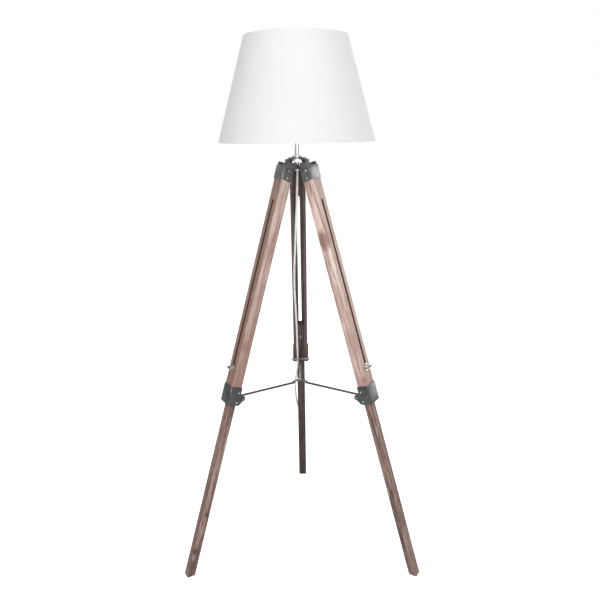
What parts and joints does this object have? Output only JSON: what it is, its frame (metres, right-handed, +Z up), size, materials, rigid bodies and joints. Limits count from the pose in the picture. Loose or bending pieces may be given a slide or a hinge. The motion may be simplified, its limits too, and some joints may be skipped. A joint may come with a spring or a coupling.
{
  "type": "tripod floor lamp",
  "caption": "Floor lamp on a folding tripod of telescopic wooden legs with metal head, chrome stem, rod spreader and tapered white fabric drum shade.",
  "frame": {"origin": "middle of the lamp's bounding box on the floor, without the cord; the lamp's own axis is at x = 0, y = -0.0782", "axes": "+Z up; +Y from the front of the lamp towards its back leg; the two front legs point left and right of -Y"},
  "size_m": [0.6424, 0.7866, 1.43],
  "materials": {
    "washed_wood": "pinkish brown limewashed softwood, matt",
    "dark_nickel": "dark nickel-grey sheet metal and rod, satin",
    "chrome": "polished",
    "zinc": "bright zinc-plated fasteners",
    "white_fabric": "white cotton on a plastic lining, fine weave",
    "white_wire": "white coated wire",
    "white_plastic": "white moulded plastic",
    "frosted_glass": "frosted",
    "brass_contact": "plain",
    "clear_flex": "white translucent PVC flex"
  },
  "bodies": {
    "root": {"head_plate": "dark_nickel", "stem_tube": "chrome", "stem_collar": "chrome", "stem_nut": "zinc", "cord_bush": "white_plastic", "lampholder_cap": "white_plastic", "lampholder_shell": "white_plastic", "lamp_contact": "brass_contact", "shade_ring_nut": "white_plastic", "bulb_glass": "frosted_glass", "bulb_cap": "zinc", "spreader_hub": "dark_nickel", "hub_screw": "zinc"},
    "shade": {"shade_fabric": "white_fabric", "shade_top_wire": "white_wire", "shade_bottom_wire": "white_wire", "shade_fitter": "white_wire"},
    "switch": {"switch_key": "white_plastic"},
    "leg_a": {"upper_leg_a": "washed_wood", "top_bracket_a": "dark_nickel", "pivot_bolt_a": "zinc", "spreader_bracket_a": "dark_nickel", "spreader_bolt_a": "zinc"},
    "lower_a": {"lower_leg_a": "washed_wood", "lock_bolt_a": "zinc", "lock_washer_a": "zinc"},
    "wing_a": {"wing_nut_a": "zinc"},
    "rod_a": {"spreader_rod_a": "dark_nickel"},
    "leg_b": {"upper_leg_b": "washed_wood", "top_bracket_b": "dark_nickel", "pivot_bolt_b": "zinc", "spreader_bracket_b": "dark_nickel", "spreader_bolt_b": "zinc"},
    "lower_b": {"lower_leg_b": "washed_wood", "lock_bolt_b": "zinc", "lock_washer_b": "zinc"},
    "wing_b": {"wing_nut_b": "zinc"},
    "rod_b": {"spreader_rod_b": "dark_nickel"},
    "leg_c": {"upper_leg_c": "washed_wood", "top_bracket_c": "dark_nickel", "pivot_bolt_c": "zinc", "spreader_bracket_c": "dark_nickel", "spreader_bolt_c": "zinc", "cord": "clear_flex", "cord_hank": "clear_flex", "cord_tie": "white_plastic", "plug": "white_plastic"},
    "lower_c": {"lower_leg_c": "washed_wood", "lock_bolt_c": "zinc", "lock_washer_c": "zinc"},
    "wing_c": {"wing_nut_c": "zinc"},
    "rod_c": {"spreader_rod_c": "dark_nickel"}
  },
  "joints": [
    {"name": "leg_a_fold", "type": "hinge", "parent": "root", "child": "leg_a", "pos_m": [-0.03249, -0.09695, 1.085], "axis": [0.5, -0.866, 0], "range_deg": [0, 8.5]},
    {"name": "lower_a_slide", "type": "slide", "parent": "leg_a", "child": "lower_a", "axis": [0.2451, 0.1415, 0.9591], "range_m": [0, 0.42]},
    {"name": "wing_a_turn", "type": "hinge", "parent": "lower_a", "child": "wing_a", "pos_m": [-0.18308, -0.1839, 0.56641], "axis": [-0.8306, -0.4796, 0.283], "continuous": true},
    {"name": "rod_a_swing", "type": "hinge", "parent": "leg_a", "child": "rod_a", "pos_m": [-0.1637, -0.1727, 0.4815], "axis": [-0.5, 0.866, 0], "range_deg": [0, 102]},
    {"name": "leg_b_fold", "type": "hinge", "parent": "root", "child": "leg_b", "pos_m": [0.03249, -0.09695, 1.085], "axis": [0.5, 0.866, 0], "range_deg": [0, 8.5]},
    {"name": "lower_b_slide", "type": "slide", "parent": "leg_b", "child": "lower_b", "axis": [-0.2451, 0.1415, 0.9591], "range_m": [0, 0.42]},
    {"name": "wing_b_turn", "type": "hinge", "parent": "lower_b", "child": "wing_b", "pos_m": [0.18308, -0.1839, 0.56641], "axis": [0.8306, -0.4796, 0.283], "continuous": true},
    {"name": "rod_b_swing", "type": "hinge", "parent": "leg_b", "child": "rod_b", "pos_m": [0.1637, -0.1727, 0.4815], "axis": [-0.5, -0.866, 0], "range_deg": [0, 102]},
    {"name": "leg_c_fold", "type": "hinge", "parent": "root", "child": "leg_c", "pos_m": [0, -0.04068, 1.085], "axis": [-1, 0, 0], "range_deg": [0, 8.5]},
    {"name": "lower_c_slide", "type": "slide", "parent": "leg_c", "child": "lower_c", "axis": [0, -0.283, 0.9591], "range_m": [0, 0.42]},
    {"name": "wing_c_turn", "type": "hinge", "parent": "lower_c", "child": "wing_c", "pos_m": [0, 0.13321, 0.56641], "axis": [0, 0.9591, 0.283], "continuous": true},
    {"name": "rod_c_swing", "type": "hinge", "parent": "leg_c", "child": "rod_c", "pos_m": [0, 0.11083, 0.4815], "axis": [1, 0, 0], "range_deg": [0, 102]},
    {"name": "shade_turn", "type": "hinge", "parent": "root", "child": "shade", "pos_m": [0, -0.07819, 1.26], "axis": [0, 0, 1], "continuous": true},
    {"name": "switch_turn", "type": "hinge", "parent": "root", "child": "switch", "pos_m": [0.0205, -0.07819, 1.2433], "axis": [1, 0, 0], "continuous": true}
  ],
  "couplings": [
    {"joint": "rod_a_swing", "follows": "leg_a_fold", "ratio": 12},
    {"joint": "rod_b_swing", "follows": "leg_a_fold", "ratio": 12},
    {"joint": "leg_b_fold", "follows": "leg_a_fold", "ratio": 1},
    {"joint": "rod_c_swing", "follows": "leg_a_fold", "ratio": 12},
    {"joint": "leg_c_fold", "follows": "leg_a_fold", "ratio": 1}
  ]
}
